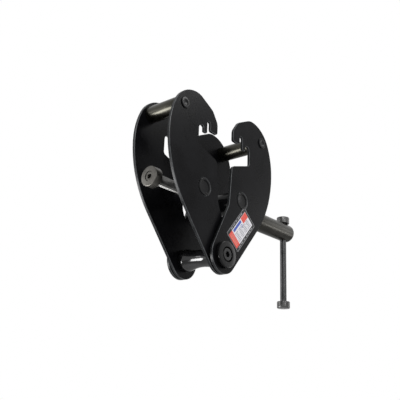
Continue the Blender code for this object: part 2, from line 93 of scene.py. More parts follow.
def build_grain_group():
    """Noise on Object coordinates, with its own stretch along each axis."""
    inputs = [("Scale", 800), ("Along X", 1), ("Along Y", 1), ("Along Z", 1), ("Detail", 2)]
    group, given, result = new_group("surface_grain", inputs, "Grain")
    place = group.nodes.new('ShaderNodeTexCoord')
    along = vector_from(group, given, "Along")
    spread = vector_math(group, 'MULTIPLY', place.outputs["Object"], along)
    noise = group.nodes.new('ShaderNodeTexNoise')
    group.links.new(spread, noise.inputs["Vector"])
    group.links.new(given.outputs["Scale"], noise.inputs["Scale"])
    group.links.new(given.outputs["Detail"], noise.inputs["Detail"])
    group.links.new(noise.outputs["Fac"], result.inputs["Grain"])
    return group


GRAIN = build_grain_group()


def grain(scale, along=(1, 1, 1), detail=2):
    """The settings of one use of the grain group."""
    return GRAIN, {"Scale": scale, "Along X": along[0], "Along Y": along[1], "Along Z": along[2],
                   "Detail": detail}


def add_effect(material, effect):
    """Put one use of a shader group in a material."""
    group, values = effect
    node = material.node_tree.nodes.new('ShaderNodeGroup')
    node.node_tree = group
    for label, value in values.items():
        node.inputs[label].default_value = value
    return node.outputs[0]


NOISE_LOW = 0.3
NOISE_HIGH = 0.7


def spread_between(material, source, low, high):
    """Stretch the middle of a noise over a range of values."""
    ramp = material.node_tree.nodes.new('ShaderNodeMapRange')
    ramp.inputs["From Min"].default_value = NOISE_LOW
    ramp.inputs["From Max"].default_value = NOISE_HIGH
    ramp.inputs["To Min"].default_value = low
    ramp.inputs["To Max"].default_value = high
    material.node_tree.links.new(source, ramp.inputs["Value"])
    return ramp.outputs["Result"]


def new_finish(name, light, dark, patches, roughness, relief, height, metallic=0.0, specular=0.5):
    """A finish whose colour, roughness and relief all vary over the surface.

    light and dark are the two ends of its colour, patches the scale of their pattern, and
    relief the effect that raises its texture by up to a height in metres.
    """
    material = bpy.data.materials.new(name)
    material.use_nodes = True
    nodes, links = material.node_tree.nodes, material.node_tree.links
    shader = nodes["Principled BSDF"]
    shader.inputs["Metallic"].default_value = metallic
    shader.inputs["Specular IOR Level"].default_value = specular
    mottle = add_effect(material, grain(patches, detail=4))
    mix = nodes.new('ShaderNodeMix')
    mix.data_type = 'RGBA'
    mix.inputs["A"].default_value = (*dark, 1)
    mix.inputs["B"].default_value = (*light, 1)
    links.new(spread_between(material, mottle, 0, 1), mix.inputs["Factor"])
    links.new(mix.outputs["Result"], shader.inputs["Base Color"])
    links.new(spread_between(material, mottle, *roughness), shader.inputs["Roughness"])
    bump = nodes.new('ShaderNodeBump')
    bump.inputs["Distance"].default_value = height
    links.new(add_effect(material, relief), bump.inputs["Height"])
    links.new(bump.outputs["Normal"], shader.inputs["Normal"])
    return material


POWDER_COAT = new_finish(
    "black_powder_coat", light=(0.0056, 0.0056, 0.0066), dark=(0.0032, 0.0032, 0.0038),
    patches=40, roughness=(0.24, 0.33), relief=grain(1100), height=0.000015, specular=0.05)
# The cut edge and the broken edges are painted lighter than the coat: a painted highlight along the
# rims of the plates.
CUT_EDGE = new_finish(
    "cut_edge_painted_highlight", light=(0.016, 0.017, 0.018), dark=(0.007, 0.0075, 0.008),
    patches=90, roughness=(0.24, 0.38), relief=grain(1500, (1, 0.08, 1)), height=0.00008,
    specular=0.12)
BROKEN_EDGE = new_finish(
    "broken_edge_painted_highlight", light=(0.120, 0.126, 0.134), dark=(0.030, 0.031, 0.033),
    patches=160, roughness=(0.24, 0.38), relief=grain(1300), height=0.00003, specular=0.3)
MERGE_DISTANCE = 0.00001
FLAT_ANGLE = math.radians(0.5)
SMOOTH_ANGLE = math.radians(28)


def merged_copy(node):
    """A copy of a CAD node's mesh with its loose triangles joined into one surface."""
    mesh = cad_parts[node].data.copy()
    mesh.materials.clear()
    shape = bmesh.new()
    shape.from_mesh(mesh)
    bmesh.ops.remove_doubles(shape, verts=shape.verts, dist=MERGE_DISTANCE)
    bmesh.ops.dissolve_limit(shape, angle_limit=FLAT_ANGLE, verts=shape.verts, edges=shape.edges)
    shape.to_mesh(mesh)
    shape.free()
    return mesh


def add_piece(name, mesh, body, replaced=(), finishes=()):
    """Show a mesh as a piece that rides on a CAD body and stands for the nodes named."""
    mesh.name = name
    for finish in finishes:
        mesh.materials.append(finish)
    mesh.shade_smooth()
    mesh.set_sharp_from_angle(angle=SMOOTH_ANGLE)
    piece = bpy.data.objects.new(name, mesh)
    bpy.context.scene.collection.objects.link(piece)
    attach(piece, body)
    if replaced:
        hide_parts(*replaced)
    return piece


plate_finishes = [POWDER_COAT, CUT_EDGE, BROKEN_EDGE]
least_on_face = 0.95            # how squarely a face of a plate looks along Y
most_on_cut_edge = 0.2
for side in ("left", "right"):
    for position in ("front", "rear"):
        node = f"{side}_plate_{position}"
        plate_mesh = merged_copy(node)
        for face in plate_mesh.polygons:
            squareness = abs(face.normal.y)
            if squareness > least_on_face:
                finish = POWDER_COAT
            elif squareness < most_on_cut_edge:
                finish = CUT_EDGE
            else:
                finish = BROKEN_EDGE
            face.material_index = plate_finishes.index(finish)
        add_piece(f"{node}_coated", plate_mesh, f"{side}_jaw", [node],
                  plate_finishes)


# ---------------------------------------------------------------- suspension bar
# A turned steel bar, waisted where the hoist's hook hangs and gloss painted, that is also
# the pivot of all four plates.  Its journals run in their lower ends.

ROUNDING_STEPS = 4
LARGEST_REACH = 0.45            # of the line beside a corner, for its rounding
ON_AXIS = 1e-7                  # a smaller radius is a point on the axis


def soften(profile):
    """Round each (radius, height, rounding) corner of a profile with a small curve."""
    outline = []
    for index, (radius, height, rounding) in enumerate(profile):
        corner = Vector((radius, height))
        if not rounding or index in (0, len(profile) - 1):
            outline.append(corner)
            continue
        before = Vector(profile[index - 1][:2]) - corner
        after = Vector(profile[index + 1][:2]) - corner
        half = before.angle(after) / 2
        reach = min(rounding / math.tan(half), before.length * LARGEST_REACH,
                    after.length * LARGEST_REACH)
        start = corner + before.normalized() * reach
        end = corner + after.normalized() * reach
        for step in range(ROUNDING_STEPS + 1):
            share = step / ROUNDING_STEPS
            outline.append(start.lerp(corner, share).lerp(corner.lerp(end, share), share))
    return outline


def turned_mesh(profile, centre, axis, steps=96):
    """Spin a profile, given from its far end down its outer side, about a line along an axis."""
    shape = bmesh.new()
    outline = soften(profile)
    rings = []
    for point in outline:
        if point.x < ON_AXIS:
            rings.append([shape.verts.new((0, 0, point.y))])
            continue
        ring = []
        for step in range(steps):
            angle = 2 * math.pi * step / steps
            place = (point.x * math.cos(angle), point.x * math.sin(angle), point.y)
            ring.append(shape.verts.new(place))
        rings.append(ring)
    pairs = list(zip(rings, rings[1:]))
    if outline[0].x > ON_AXIS:
        pairs.append((rings[-1], rings[0]))
    for upper, lower in pairs:
        for step in range(steps):
            after = (step + 1) % steps
            corners = [upper[step % len(upper)], lower[step % len(lower)],
                       lower[after % len(lower)], upper[after % len(upper)]]
            if len(set(corners)) > 2:
                shape.faces.new(list(dict.fromkeys(corners)))
    bmesh.ops.recalc_face_normals(shape, faces=shape.faces)
    turn = Vector((0, 0, 1)).rotation_difference(Vector(axis)).to_matrix().to_4x4()
    bmesh.ops.transform(shape, matrix=Matrix.Translation(centre) @ turn, verts=shape.verts)
    mesh = bpy.data.meshes.new("turned")
    shape.to_mesh(mesh)
    shape.free()
    return mesh


def mirrored(upper_half):
    """The whole profile of a piece that is alike on both sides of its middle."""
    lower_half = [(radius, -height, rounding) for radius, height, rounding in reversed(upper_half)]
    return upper_half + lower_half[1 if upper_half[-1][1] == 0 else 0:]


GLOSS_PAINT = new_finish(
    "gloss_black_paint", light=(0.0070, 0.0070, 0.0078), dark=(0.0042, 0.0042, 0.0048),
    patches=30, roughness=(0.11, 0.16), relief=grain(500), height=0.00002, specular=0.5)
FIT = 0.0003                    # the clearance between two pieces that fit each other
bar_low, bar_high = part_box("suspension_bar")
bar_centre = Vector((0, 0, (bar_low.z + bar_high.z) / 2))
bar_end = bar_high.y
bar_end_round = 0.0008
bar_journal = 0.011
bar_waist = 0.0113
shoulder_radius = (bar_high.z - bar_low.z) / 2
shoulder_round = 0.0006
shoulder_length = 0.0075
shoulder_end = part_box("left_plate_rear")[0].y - FIT
waist_half = shoulder_end - shoulder_length
waist_swell = shoulder_radius - bar_waist
waist_arc = (waist_half ** 2 + waist_swell ** 2) / (2 * waist_swell)
waist_steps = 24
waist = []
for step in range(waist_steps + 1):
    height = waist_half * (1 - step / waist_steps)
    waist.append((bar_waist + waist_arc - math.sqrt(waist_arc ** 2 - height ** 2), height, 0))
bar_profile = mirrored([
    (0, bar_end, 0),
    (bar_journal, bar_end, bar_end_round),
    (bar_journal, shoulder_end, 0),
    (shoulder_radius, shoulder_end, shoulder_round),
] + waist)
add_piece("suspension_bar_painted", turned_mesh(bar_profile, bar_centre, (0, 1, 0)), "suspension",
          ["suspension_bar"], [GLOSS_PAINT])


# ---------------------------------------------------------------- end discs and washers
# A gloss painted disc at each end of the bar keeps the plates on it.  It has a counterbore
# for its screw.  A plain washer spaces the outer plate from the inner one.

DISC_PAINT = new_finish(
    "painted_disc", light=(0.0068, 0.0068, 0.0074), dark=(0.0040, 0.0040, 0.0044),
    patches=60, roughness=(0.12, 0.20), relief=grain(900), height=0.00002, specular=0.17)
disc_rim_round = 0.0012
disc_seat_round = 0.0003
disc_bore = 0.0053
disc_recess_radius = 0.010
disc_recess_depth = 0.0036
disc_recess_round = 0.0004
for position, outwards in (("front", -1), ("rear", 1)):
    disc_low, disc_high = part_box(f"{position}_retaining_disc")
    disc_radius = (disc_high.x - disc_low.x) / 2
    thickness = disc_high.y - disc_low.y
    disc_profile = [
        (disc_recess_radius, thickness, 0),
        (disc_radius, thickness, disc_rim_round),
        (disc_radius, 0, disc_seat_round),
        (disc_bore, 0, 0),
        (disc_bore, thickness - disc_recess_depth, 0),
        (disc_recess_radius, thickness - disc_recess_depth, disc_recess_round),
    ]
    seat = disc_low.y if outwards > 0 else disc_high.y
    disc_mesh = turned_mesh(disc_profile, Vector((0, seat, bar_centre.z)), (0, outwards, 0))
    add_piece(f"{position}_disc_painted", disc_mesh, "suspension",
              [f"{position}_retaining_disc"], [DISC_PAINT])

BLACKENED_STEEL = new_finish(
    "blackened_steel", light=(0.075, 0.070, 0.058), dark=(0.036, 0.034, 0.028),
    patches=120, roughness=(0.30, 0.46), relief=grain(2500, (0.03, 1, 0.03)), height=0.00003,
    metallic=0.9)
for position in ("front", "rear"):
    node = f"{position}_spacer_washer"
    add_piece(f"{node}_steel", merged_copy(node), "suspension", [node],
              [BLACKENED_STEEL])


# ---------------------------------------------------------------- end screws
# An M10 socket screw with a low head sits deep in each disc.  Geometry Nodes set a screw,
# its six-sided socket cut with a Boolean, on a point at each end of the bar.

def new_tree(name, sizes):
    """A geometry node tree with a geometry input, float inputs by name and a material input."""
    tree = bpy.data.node_groups.new(name, 'GeometryNodeTree')
    outside = tree.interface
    outside.new_socket("Geometry", in_out='INPUT', socket_type='NodeSocketGeometry')
    for label in sizes:
        outside.new_socket(label, in_out='INPUT', socket_type='NodeSocketFloat')
    outside.new_socket("Finish", in_out='INPUT', socket_type='NodeSocketMaterial')
    outside.new_socket("Geometry", in_out='OUTPUT', socket_type='NodeSocketGeometry')
    return tree, tree.nodes.new('NodeGroupInput'), tree.nodes.new('NodeGroupOutput')


def math_node(tree, operation, first, second=None):
    """A Math node on two values, each a number or another node's socket."""
    made = tree.nodes.new('ShaderNodeMath')
    made.operation = operation
    for socket, value in zip(made.inputs, (first, second)):
        if isinstance(value, (int, float)):
            socket.default_value = value
        elif value is not None:
            tree.links.new(value, socket)
    return made.outputs["Value"]


def end_tree(tree, given, result, geometry):
    """End a tree in Realize Instances and Set Material."""
    real = tree.nodes.new('GeometryNodeRealizeInstances')
    tree.links.new(geometry, real.inputs["Geometry"])
    finish = tree.nodes.new('GeometryNodeSetMaterial')
    tree.links.new(real.outputs["Geometry"], finish.inputs["Geometry"])
    tree.links.new(given.outputs["Finish"], finish.inputs["Material"])
    tree.links.new(finish.outputs["Geometry"], result.inputs["Geometry"])


def made_by(tree, base_mesh, values):
    """The plain mesh that a tree makes from a base mesh and its input values by name."""
    carrier = bpy.data.objects.new(tree.name, base_mesh)
    bpy.context.scene.collection.objects.link(carrier)
    modifier = carrier.modifiers.new(tree.name, 'NODES')
    modifier.node_group = tree
    for item in tree.interface.items_tree:
        if item.in_out == 'INPUT' and item.name in values:
            modifier[item.identifier] = values[item.name]
    bpy.context.view_layer.update()
    evaluated = carrier.evaluated_get(bpy.context.evaluated_depsgraph_get())
    mesh = bpy.data.meshes.new_from_object(evaluated)
    bpy.data.objects.remove(carrier, do_unlink=True)
    return mesh


def build_socket_screw_tree():
    """A screw on each point of a mesh, with its head facing the way that the point says."""
    sizes = ["Head Radius", "Head Height", "Shank Radius", "Shank Length", "Socket Radius",
             "Socket Depth"]
    tree, given, result = new_tree("socket_screws", sizes)
    nodes, links = tree.nodes, tree.links
    head_sides = 64
    shank_sides = 32
    socket_sides = 6
    shank_start = 0.9           # of the head's height, so that no two ends share a plane

    def cylinder_between(sides, radius, upper, lower):
        """A cylinder between two depths below the top of the screw."""
        made = nodes.new('GeometryNodeMeshCylinder')
        made.inputs["Vertices"].default_value = sides
        links.new(given.outputs[radius], made.inputs["Radius"])
        links.new(math_node(tree, 'SUBTRACT', lower, upper), made.inputs["Depth"])
        offset = nodes.new('ShaderNodeCombineXYZ')
        middle_depth = math_node(tree, 'MULTIPLY', math_node(tree, 'ADD', lower, upper), -0.5)
        links.new(middle_depth, offset.inputs["Z"])
        moved = nodes.new('GeometryNodeTransform')
        links.new(made.outputs["Mesh"], moved.inputs["Geometry"])
        links.new(offset.outputs["Vector"], moved.inputs["Translation"])
        return moved.outputs["Geometry"]

    head_height = given.outputs["Head Height"]
    socket_depth = given.outputs["Socket Depth"]
    inside_head = math_node(tree, 'MULTIPLY', head_height, shank_start)
    above_head = math_node(tree, 'MULTIPLY', socket_depth, -1)
    head = cylinder_between(head_sides, "Head Radius", 0, head_height)
    shank = cylinder_between(shank_sides, "Shank Radius", inside_head,
                             given.outputs["Shank Length"])
    whole = nodes.new('GeometryNodeMeshBoolean')
    whole.operation = 'UNION'
    links.new(head, whole.inputs["Mesh 2"])
    links.new(shank, whole.inputs["Mesh 2"])
    hollowed = nodes.new('GeometryNodeMeshBoolean')
    hollowed.operation = 'DIFFERENCE'
    links.new(whole.outputs["Mesh"], hollowed.inputs["Mesh 1"])
    socket = cylinder_between(socket_sides, "Socket Radius", above_head, socket_depth)
    links.new(socket, hollowed.inputs["Mesh 2"])
    facing = nodes.new('GeometryNodeInputNamedAttribute')
    facing.data_type = 'FLOAT_VECTOR'
    facing.inputs["Name"].default_value = "facing"
    aim = nodes.new('FunctionNodeAlignRotationToVector')
    links.new(facing.outputs["Attribute"], aim.inputs["Vector"])
    placed = nodes.new('GeometryNodeInstanceOnPoints')
    links.new(given.outputs["Geometry"], placed.inputs["Points"])
    links.new(hollowed.outputs["Mesh"], placed.inputs["Instance"])
    links.new(aim.outputs["Rotation"], placed.inputs["Rotation"])
    end_tree(tree, given, result, placed.outputs["Instances"])
    return tree


def screw_points(places, directions):
    """A mesh with one point for each screw, and the way its head faces."""
    mesh = bpy.data.meshes.new("screw_points")
    mesh.from_pydata(places, [], [])
    facing = mesh.attributes.new("facing", 'FLOAT_VECTOR', 'POINT')
    facing.data.foreach_set("vector", [value for direction in directions for value in direction])
    return mesh


def hexagon_radius(flats):
    """The radius out to the corners of a hexagon, from its width across flats."""
    return flats / math.sqrt(3)


def break_edges(piece, width):
    """Bevel the sharp edges of a piece."""
    bevel = piece.modifiers.new("broken_edges", 'BEVEL')
    bevel.width = width
    bevel.segments = 2
    bevel.limit_method = 'ANGLE'
    bevel.angle_limit = math.radians(40)


SCREW_PAINT = new_finish(
    "painted_screw", light=(0.0080, 0.0080, 0.0090), dark=(0.0045, 0.0045, 0.0050),
    patches=300, roughness=(0.10, 0.18), relief=grain(1500), height=0.00003, specular=0.3)
SOCKET_SCREWS = build_socket_screw_tree()
screw_low, screw_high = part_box("rear_end_screw")
end_screw_flats = 0.007
end_screw_places = [(0, -screw_high.y, bar_centre.z), (0, screw_high.y, bar_centre.z)]
end_screw_points = screw_points(end_screw_places, [(0, -1, 0), (0, 1, 0)])
end_screw_mesh = made_by(SOCKET_SCREWS, end_screw_points, {
    "Head Radius": (screw_high.x - screw_low.x) / 2,
    "Head Height": 0.003,
    "Shank Radius": 0.005,
    "Shank Length": screw_high.y - screw_low.y,
    "Socket Radius": hexagon_radius(end_screw_flats),
    "Socket Depth": 0.0042,
    "Finish": SCREW_PAINT,
})
end_screws = add_piece("end_screws", end_screw_mesh, "suspension",
                       ["front_end_screw", "rear_end_screw"])
break_edges(end_screws, width=0.0004)


# ---------------------------------------------------------------- distance tubes and rivets
# A blackened steel tube across the top of each jaw keeps its plates apart.  A rivet through
# both plates and the tube is peened at each end, with a dimple from the press.

OLIVE_STEEL = new_finish(
    "oiled_tube_steel", light=(0.050, 0.048, 0.039), dark=(0.026, 0.025, 0.020),
    patches=60, roughness=(0.24, 0.34), relief=grain(1800, (1, 0.04, 1)), height=0.00001,
    metallic=0.9)
RIVET_PAINT = new_finish(
    "painted_rivet", light=(0.0060, 0.0060, 0.0068), dark=(0.0034, 0.0034, 0.0040),
    patches=200, roughness=(0.12, 0.20), relief=grain(900), height=0.00003, specular=0.12)
tube_wall = 0.0049
tube_round = 0.0006
rivet_shank = 0.0058
rivet_head_height = 0.001
rivet_head_round = 0.0006
dimple_radius = 0.0046
dimple_depth = 0.0008
dimple_round = 0.0008
dimple_floor_radius = dimple_radius * 0.6
dimple_floor_depth = dimple_depth * 0.7
dimple_floor_round = 0.001
for side in ("left", "right"):
    tube_low, tube_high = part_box(f"{side}_distance_tube")
    tube_centre = (tube_low + tube_high) / 2
    tube_radius = (tube_high.z - tube_low.z) / 2
    tube_profile = [
        (tube_radius - tube_wall, tube_high.y, 0),
        (tube_radius, tube_high.y, tube_round),
        (tube_radius, tube_low.y, tube_round),
        (tube_radius - tube_wall, tube_low.y, 0),
    ]
    add_piece(f"{side}_tube_steel", turned_mesh(tube_profile, tube_centre, (0, 1, 0)),
              f"{side}_jaw", [f"{side}_distance_tube"], [OLIVE_STEEL])
    rivet_low, rivet_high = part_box(f"{side}_rivet")
    rivet_radius = (rivet_high.z - rivet_low.z) / 2
    rivet_profile = mirrored([
        (0, rivet_high.y - dimple_depth, 0),
        (dimple_floor_radius, rivet_high.y - dimple_floor_depth, dimple_floor_round),
        (dimple_radius, rivet_high.y, dimple_round),
        (rivet_radius, rivet_high.y, rivet_head_round),
        (rivet_radius, rivet_high.y - rivet_head_height, 0),
        (rivet_shank, rivet_high.y - rivet_head_height, 0),
    ])
    add_piece(f"{side}_rivet_painted", turned_mesh(rivet_profile, tube_centre, (0, 1, 0)),
              f"{side}_jaw", [f"{side}_rivet"], [RIVET_PAINT])


# ---------------------------------------------------------------- trunnions
# A turned and painted cross nut pivots between the plates of each jaw.  Its journals end
# flush in the plates with a dished centre, and the spindle runs through its middle.

def drilled(mesh, drill_mesh):
    """A mesh with the form of a drill cut out of it."""
    body = bpy.data.objects.new("drilled", mesh)
    drill = bpy.data.objects.new("drill", drill_mesh)
    for item in (body, drill):
        bpy.context.scene.collection.objects.link(item)
    cut = body.modifiers.new("hole", 'BOOLEAN')
    cut.operation = 'DIFFERENCE'
    cut.object = drill
    bpy.context.view_layer.update()
    evaluated = body.evaluated_get(bpy.context.evaluated_depsgraph_get())
    result = bpy.data.meshes.new_from_object(evaluated)
    for item in (body, drill):
        bpy.data.objects.remove(item, do_unlink=True)
    return result


def drill_along(axis, centre, radius, length):
    """A plain cylinder along an axis, about its centre."""
    profile = mirrored([(0, length / 2, 0), (radius, length / 2, 0)])
    return turned_mesh(profile, centre, axis, steps=64)


TRUNNION_PAINT = new_finish(
    "painted_trunnion", light=(0.0056, 0.0056, 0.0064), dark=(0.0032, 0.0032, 0.0038),
    patches=120, roughness=(0.12, 0.18), relief=grain(900), height=0.00003, specular=0.12)
journal_radius = 0.0115
journal_round = 0.0010
nut_round = 0.0012
dish_radius = 0.009
dish_depth = 0.0012
dish_edge_round = 0.0004
dish_floor_round = 0.0006
nut_bores = {"left": 0.0074, "right": 0.0078}
for side, bore in nut_bores.items():
    nut_low, nut_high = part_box(f"{side}_trunnion")
    nut_centre = (nut_low + nut_high) / 2
    nut_radius = (nut_high.z - nut_low.z) / 2
    nut_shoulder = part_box(f"{side}_plate_rear")[0].y - FIT
    nut_profile = mirrored([
        (0, nut_high.y - dish_depth, 0),
        (dish_radius - dish_depth, nut_high.y - dish_depth, dish_floor_round),
        (dish_radius, nut_high.y, dish_edge_round),
        (journal_radius, nut_high.y, journal_round),
        (journal_radius, nut_shoulder, 0),
        (nut_radius, nut_shoulder, nut_round),
    ])
    nut_drill = drill_along((1, 0, 0), nut_centre, radius=bore, length=4 * nut_radius)
    nut_mesh = drilled(turned_mesh(nut_profile, nut_centre, (0, 1, 0)), nut_drill)
    add_piece(f"{side}_trunnion_painted", nut_mesh, f"{side}_nut",
              [f"{side}_trunnion"], [TRUNNION_PAINT])


# ---------------------------------------------------------------- threaded spindle rod
# Rolled steel, with a left-hand trapezoidal thread on one half, a right-hand one on the
# other and a plain stretch between, so that one turn moves both trunnions alike.

def build_thread_tree():
    """A rod along Z whose surface follows a two-handed thread worked out from its place."""
    tree, given, result = new_tree("two_handed_thread", ["Radius", "Low", "High", "Pitch",
                                                         "Depth", "Plain Half"])
    nodes, links = tree.nodes, tree.links
    rod_sides = 48
    rows_for_each_pitch = 8
    crest_end = 0.15            # in pitches from the middle of a crest
    root_start = 0.35
    low, high = given.outputs["Low"], given.outputs["High"]
    radius, pitch = given.outputs["Radius"], given.outputs["Pitch"]
    length = math_node(tree, 'SUBTRACT', high, low)
    pitches = math_node(tree, 'DIVIDE', length, pitch)
    rows = math_node(tree, 'MULTIPLY', pitches, rows_for_each_pitch)
    rod = nodes.new('GeometryNodeMeshCylinder')
    rod.inputs["Vertices"].default_value = rod_sides
    links.new(rows, rod.inputs["Side Segments"])
    links.new(radius, rod.inputs["Radius"])
    links.new(length, rod.inputs["Depth"])
    centre = nodes.new('ShaderNodeCombineXYZ')
    half_way = math_node(tree, 'MULTIPLY', math_node(tree, 'ADD', low, high), 0.5)
    links.new(half_way, centre.inputs["Z"])
    moved = nodes.new('GeometryNodeTransform')
    links.new(rod.outputs["Mesh"], moved.inputs["Geometry"])
    links.new(centre.outputs["Vector"], moved.inputs["Translation"])

    place = nodes.new('GeometryNodeInputPosition')
    apart = nodes.new('ShaderNodeSeparateXYZ')
    links.new(place.outputs["Position"], apart.inputs["Vector"])
    x, y, z = apart.outputs["X"], apart.outputs["Y"], apart.outputs["Z"]
    turns = math_node(tree, 'DIVIDE', math_node(tree, 'ARCTAN2', y, x), 2 * math.pi)
    handed = math_node(tree, 'MULTIPLY', math_node(tree, 'SIGN', z), turns)
    phase = math_node(tree, 'SUBTRACT', math_node(tree, 'DIVIDE', z, pitch), handed)
    wave = math_node(tree, 'PINGPONG', math_node(tree, 'FRACT', phase), 0.5)
    flank = nodes.new('ShaderNodeMapRange')
    flank.inputs["From Min"].default_value = crest_end
    flank.inputs["From Max"].default_value = root_start
    links.new(wave, flank.inputs["Value"])
    runout = nodes.new('ShaderNodeMapRange')
    plain_half = given.outputs["Plain Half"]
    links.new(math_node(tree, 'ABSOLUTE', z), runout.inputs["Value"])
    links.new(plain_half, runout.inputs["From Min"])
    links.new(math_node(tree, 'ADD', plain_half, pitch), runout.inputs["From Max"])
    groove = math_node(tree, 'MULTIPLY', flank.outputs["Result"], runout.outputs["Result"])
    depth = math_node(tree, 'MULTIPLY', groove, given.outputs["Depth"])
    share = math_node(tree, 'SUBTRACT', 1, math_node(tree, 'DIVIDE', depth, radius))
    joined = nodes.new('ShaderNodeCombineXYZ')
    links.new(math_node(tree, 'MULTIPLY', x, share), joined.inputs["X"])
    links.new(math_node(tree, 'MULTIPLY', y, share), joined.inputs["Y"])
    links.new(z, joined.inputs["Z"])
    shaped = nodes.new('GeometryNodeSetPosition')
    links.new(moved.outputs["Geometry"], shaped.inputs["Geometry"])
    links.new(joined.outputs["Vector"], shaped.inputs["Position"])
    end_tree(tree, given, result, shaped.outputs["Geometry"])
    return tree


THREAD_STEEL = new_finish(
    "rolled_thread_steel", light=(0.170, 0.169, 0.165), dark=(0.095, 0.094, 0.091),
    patches=150, roughness=(0.30, 0.42), relief=grain(3000), height=0.00001, metallic=1.0)
rod_low, rod_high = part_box("spindle_rod")
spindle_height = (rod_low.z + rod_high.z) / 2
thread_mesh = made_by(build_thread_tree(), bpy.data.meshes.new("thread_base"), {
    "Radius": (rod_high.z - rod_low.z) / 2,
    "Low": rod_low.x,
    "High": rod_high.x,
    "Pitch": 0.002,
    "Depth": 0.0008,
    "Plain Half": 0.008,
    "Finish": THREAD_STEEL,
})
along_x = Matrix.Rotation(math.pi / 2, 4, 'Y')
thread_mesh.transform(Matrix.Translation((0, 0, spindle_height)) @ along_x)
add_piece("spindle_rod_threaded", thread_mesh, "spindle", ["spindle_rod"])


# ---------------------------------------------------------------- barrel, collar and its screw
# The outer end of the spindle is a blackened barrel with a rounded nose and a cross hole.
# A turned collar on the inner end, held by a sunk socket screw, stops the trunnion.

def build_turning_group():
    """Rings left by a lathe tool about an axis through a centre, on sides and end faces alike."""
    inputs = [("Scale", 2500)]
    for label in ("Centre", "Axis"):
        inputs += [(f"{label} {axis}", 0) for axis in "XYZ"]
    group, given, result = new_group("turning_marks", inputs, "Marks")
    place = group.nodes.new('ShaderNodeTexCoord')
    axis = vector_from(group, given, "Axis")
    centre = vector_from(group, given, "Centre")
    offset = vector_math(group, 'SUBTRACT', place.outputs["Object"], centre)
    along = vector_math(group, 'DOT_PRODUCT', offset, axis, "Value")
    out = vector_math(group, 'SUBTRACT', offset, vector_math(group, 'SCALE', axis, along))
    distance = vector_math(group, 'LENGTH', out, out, "Value")
    joined = group.nodes.new('ShaderNodeCombineXYZ')
    group.links.new(distance, joined.inputs["X"])
    group.links.new(along, joined.inputs["Y"])
    noise = group.nodes.new('ShaderNodeTexNoise')
    group.links.new(joined.outputs["Vector"], noise.inputs["Vector"])
    group.links.new(given.outputs["Scale"], noise.inputs["Scale"])
    group.links.new(noise.outputs["Fac"], result.inputs["Marks"])
    return group


TURNING = build_turning_group()


def turning(scale, centre, axis):
    """The settings of one use of the turning group."""
    values = {"Scale": scale}
    for index, letter in enumerate("XYZ"):
        values[f"Centre {letter}"] = centre[index]
        values[f"Axis {letter}"] = axis[index]
    return TURNING, values


spindle_axis = (1, 0, 0)
spindle_line = (0, 0, spindle_height)
BARREL_STEEL = new_finish(
    "oiled_barrel_steel", light=(0.044, 0.042, 0.037), dark=(0.027, 0.026, 0.022),
    patches=70, roughness=(0.28, 0.38), relief=turning(2200, spindle_line, spindle_axis),
    height=0.000006, metallic=0.9)
barrel_low, barrel_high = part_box("spindle_barrel")
barrel_radius = (barrel_high.z - barrel_low.z) / 2
barrel_length = barrel_high.x - barrel_low.x
barrel_nose_round = 0.0048
barrel_foot_round = 0.0016
barrel_mouth_round = 0.0003
barrel_socket = 0.0073
barrel_socket_depth = 0.040
tommy_low, tommy_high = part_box("tommy_bar")
tommy_centre = (tommy_low + tommy_high) / 2
tommy_radius = (tommy_high.x - tommy_low.x) / 2
tommy_clearance = 0.0005
barrel_profile = [
    (0, barrel_length, 0),
    (barrel_radius, barrel_length, barrel_nose_round),
    (barrel_radius, 0, barrel_foot_round),
    (barrel_socket, 0, barrel_mouth_round),
    (barrel_socket, barrel_socket_depth, 0),
    (0, barrel_socket_depth, 0),
]
barrel_seat = Vector((barrel_low.x, 0, spindle_height))
tommy_drill = drill_along((0, 0, 1), Vector((tommy_centre.x, 0, spindle_height)),
                          radius=tommy_radius + tommy_clearance, length=4 * barrel_radius)
barrel_turned = turned_mesh(barrel_profile, barrel_seat, (1, 0, 0), steps=128)
add_piece("spindle_barrel_steel", drilled(barrel_turned, tommy_drill), "spindle_head",
          ["spindle_barrel"], [BARREL_STEEL])

COLLAR_STEEL = new_finish(
    "turned_collar_steel", light=(0.118, 0.113, 0.104), dark=(0.078, 0.074, 0.068),
    patches=100, roughness=(0.30, 0.42), relief=turning(2600, spindle_line, spindle_axis),
    height=0.000011, metallic=0.95)
collar_low, collar_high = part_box("spindle_collar")
collar_length = collar_high.x - collar_low.x
collar_radius = (collar_high.z - collar_low.z) / 2
collar_round = 0.0009
collar_bore = 0.0043
collar_recess_radius = 0.0065
collar_recess_depth = 0.0055
collar_profile = [
    (collar_recess_radius, collar_length, 0),
    (collar_radius, collar_length, collar_round),
    (collar_radius, 0, collar_round),
    (collar_bore, 0, 0),
    (collar_bore, collar_length - collar_recess_depth, 0),
    (collar_recess_radius, collar_length - collar_recess_depth, 0),
]
collar_seat = Vector((collar_high.x, 0, spindle_height))
add_piece("spindle_collar_steel", turned_mesh(collar_profile, collar_seat, (-1, 0, 0)),
          "spindle_end", ["spindle_collar"], [COLLAR_STEEL])

SCREW_STEEL = new_finish(
    "blackened_screw", light=(0.100, 0.096, 0.088), dark=(0.060, 0.057, 0.052),
    patches=300, roughness=(0.26, 0.40), relief=grain(1500), height=0.00002, metallic=0.9)
inner_low, inner_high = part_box("collar_screw")
collar_screw_flats = 0.006
collar_screw_points = screw_points([(inner_low.x, 0, spindle_height)], [(-1, 0, 0)])
collar_screw_mesh = made_by(SOCKET_SCREWS, collar_screw_points, {
    "Head Radius": (inner_high.z - inner_low.z) / 2,
    "Head Height": 0.0044,
    "Shank Radius": 0.004,
    "Shank Length": inner_high.x - inner_low.x,
    "Socket Radius": hexagon_radius(collar_screw_flats),
    "Socket Depth": 0.0055,
    "Finish": SCREW_STEEL,
})
collar_screw = add_piece("collar_socket_screw", collar_screw_mesh, "spindle_end",
                         ["collar_screw"])
break_edges(collar_screw, width=0.0003)


